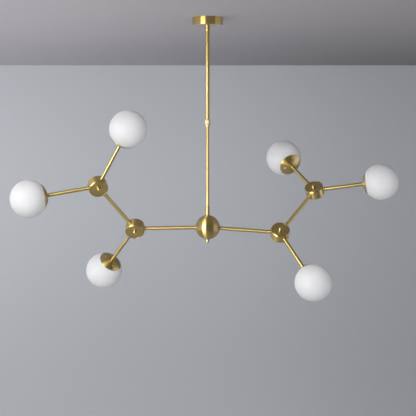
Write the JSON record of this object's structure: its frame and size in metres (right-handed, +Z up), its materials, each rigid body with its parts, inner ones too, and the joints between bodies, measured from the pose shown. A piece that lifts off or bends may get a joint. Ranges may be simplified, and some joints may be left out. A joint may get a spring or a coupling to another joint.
{
  "type": "branch chandelier",
  "caption": "Branching ceiling lamp: telescopic stem, ball hub and swivelling drum joints that carry opal globes in brass cups.",
  "frame": {"origin": "on the stem's axis in the ceiling plane, at the centre of the bracket's upper face", "axes": "+Z up through the ceiling, +X towards the right-hand arm, +Y away from the viewer"},
  "size_m": [1.2618, 0.628, 0.923],
  "materials": {
    "brass": "polished and lacquered",
    "turned_brass": "turned faces",
    "steel": "zinc plated",
    "nickel": "nickel plated spring steel",
    "opal_glass": "satin opal",
    "bulb_glass": "frosted",
    "holder_plastic": "moulded",
    "block_plastic": "moulded"
  },
  "bodies": {
    "canopy_fixing": {"ceiling_bracket": "steel", "canopy": "brass", "canopy_screws": "steel", "terminal_block": "block_plastic", "stem_nipple": "steel", "canopy_ferrule": "brass", "outer_tube": "brass", "stem_collet": "brass"},
    "collar": {"locking_collar": "brass"},
    "lower_stem": {"inner_tube": "brass", "hub_ferrule": "brass", "swivel_nipple": "steel"},
    "hub": {"hub_ball_upper": "brass", "hub_ball_lower": "brass", "hub_core": "brass", "hub_plug": "brass", "finial": "brass", "left_arm": "brass", "right_arm": "brass"},
    "left_inner_joint": {"left_inner_drum_body": "brass", "left_inner_drum_covers": "turned_brass", "left_inner_drum_tie": "brass", "left_branch_rod": "brass", "left_inner_lamp_rod": "brass", "left_inner_cup": "brass", "left_inner_lampholder": "holder_plastic", "left_inner_bulb": "bulb_glass", "left_inner_globe_clips": "nickel"},
    "left_outer_joint": {"left_outer_drum_body": "brass", "left_outer_drum_covers": "turned_brass", "left_outer_drum_tie": "brass", "left_outer_lamp_rods": "brass", "left_outer_cups": "brass", "left_outer_lampholders": "holder_plastic", "left_outer_bulbs": "bulb_glass", "left_outer_globe_clips": "nickel"},
    "left_low_shade": {"left_low_globe": "opal_glass"},
    "left_out_shade": {"left_out_globe": "opal_glass"},
    "left_top_shade": {"left_top_globe": "opal_glass"},
    "right_inner_joint": {"right_inner_drum_body": "brass", "right_inner_drum_covers": "turned_brass", "right_inner_drum_tie": "brass", "right_branch_rod": "brass", "right_inner_lamp_rod": "brass", "right_inner_cup": "brass", "right_inner_lampholder": "holder_plastic", "right_inner_bulb": "bulb_glass", "right_inner_globe_clips": "nickel"},
    "right_outer_joint": {"right_outer_drum_body": "brass", "right_outer_drum_covers": "turned_brass", "right_outer_drum_tie": "brass", "right_outer_lamp_rods": "brass", "right_outer_cups": "brass", "right_outer_lampholders": "holder_plastic", "right_outer_bulbs": "bulb_glass", "right_outer_globe_clips": "nickel"},
    "right_low_shade": {"right_low_globe": "opal_glass"},
    "right_out_shade": {"right_out_globe": "opal_glass"},
    "right_top_shade": {"right_top_globe": "opal_glass"}
  },
  "joints": [
    {"name": "stem_height", "type": "slide", "parent": "canopy_fixing", "child": "lower_stem", "axis": [0, 0, 1], "range_m": [-0.06, 0.24]},
    {"name": "collar_turn", "type": "hinge", "parent": "canopy_fixing", "child": "collar", "pos_m": [0, 0, -0.347], "axis": [0, 0, 1], "range_deg": [0, 270]},
    {"name": "hub_swivel", "type": "hinge", "parent": "lower_stem", "child": "hub", "pos_m": [0, 0, -0.647], "axis": [0, 0, 1], "range_deg": [-175, 175]},
    {"name": "left_arm_roll", "type": "hinge", "parent": "hub", "child": "left_inner_joint", "pos_m": [-0.23796, 0, -0.69115], "axis": [-0.9998, 0, -0.0175], "range_deg": [-150, 150]},
    {"name": "left_branch_roll", "type": "hinge", "parent": "left_inner_joint", "child": "left_outer_joint", "pos_m": [-0.35036, -0.13115, -0.55489], "axis": [-0.5109, -0.5961, 0.6194], "range_deg": [-150, 150]},
    {"name": "left_low_globe_pull", "type": "slide", "parent": "left_inner_joint", "child": "left_low_shade", "axis": [-0.489, 0.5961, -0.6368], "range_m": [0, 0.09]},
    {"name": "left_out_globe_pull", "type": "slide", "parent": "left_outer_joint", "child": "left_out_shade", "axis": [-0.9643, -0.1967, -0.1774], "range_m": [0, 0.09]},
    {"name": "left_top_globe_pull", "type": "slide", "parent": "left_outer_joint", "child": "left_top_shade", "axis": [0.4534, -0.3994, 0.7968], "range_m": [0, 0.09]},
    {"name": "right_arm_roll", "type": "hinge", "parent": "hub", "child": "right_inner_joint", "pos_m": [0.23736, 0, -0.70443], "axis": [0.9973, 0, -0.0732], "range_deg": [-150, 150]},
    {"name": "right_branch_roll", "type": "hinge", "parent": "right_inner_joint", "child": "right_outer_joint", "pos_m": [0.35791, 0.1199, -0.56482], "axis": [0.5479, 0.545, 0.6346], "range_deg": [-150, 150]},
    {"name": "right_low_globe_pull", "type": "slide", "parent": "right_inner_joint", "child": "right_low_shade", "axis": [0.4494, -0.545, -0.7078], "range_m": [0, 0.09]},
    {"name": "right_out_globe_pull", "type": "slide", "parent": "right_outer_joint", "child": "right_out_shade", "axis": [0.9709, -0.2043, 0.125], "range_m": [0, 0.09]},
    {"name": "right_top_globe_pull", "type": "slide", "parent": "right_outer_joint", "child": "right_top_shade", "axis": [-0.423, 0.7493, 0.5096], "range_m": [0, 0.09]}
  ]
}
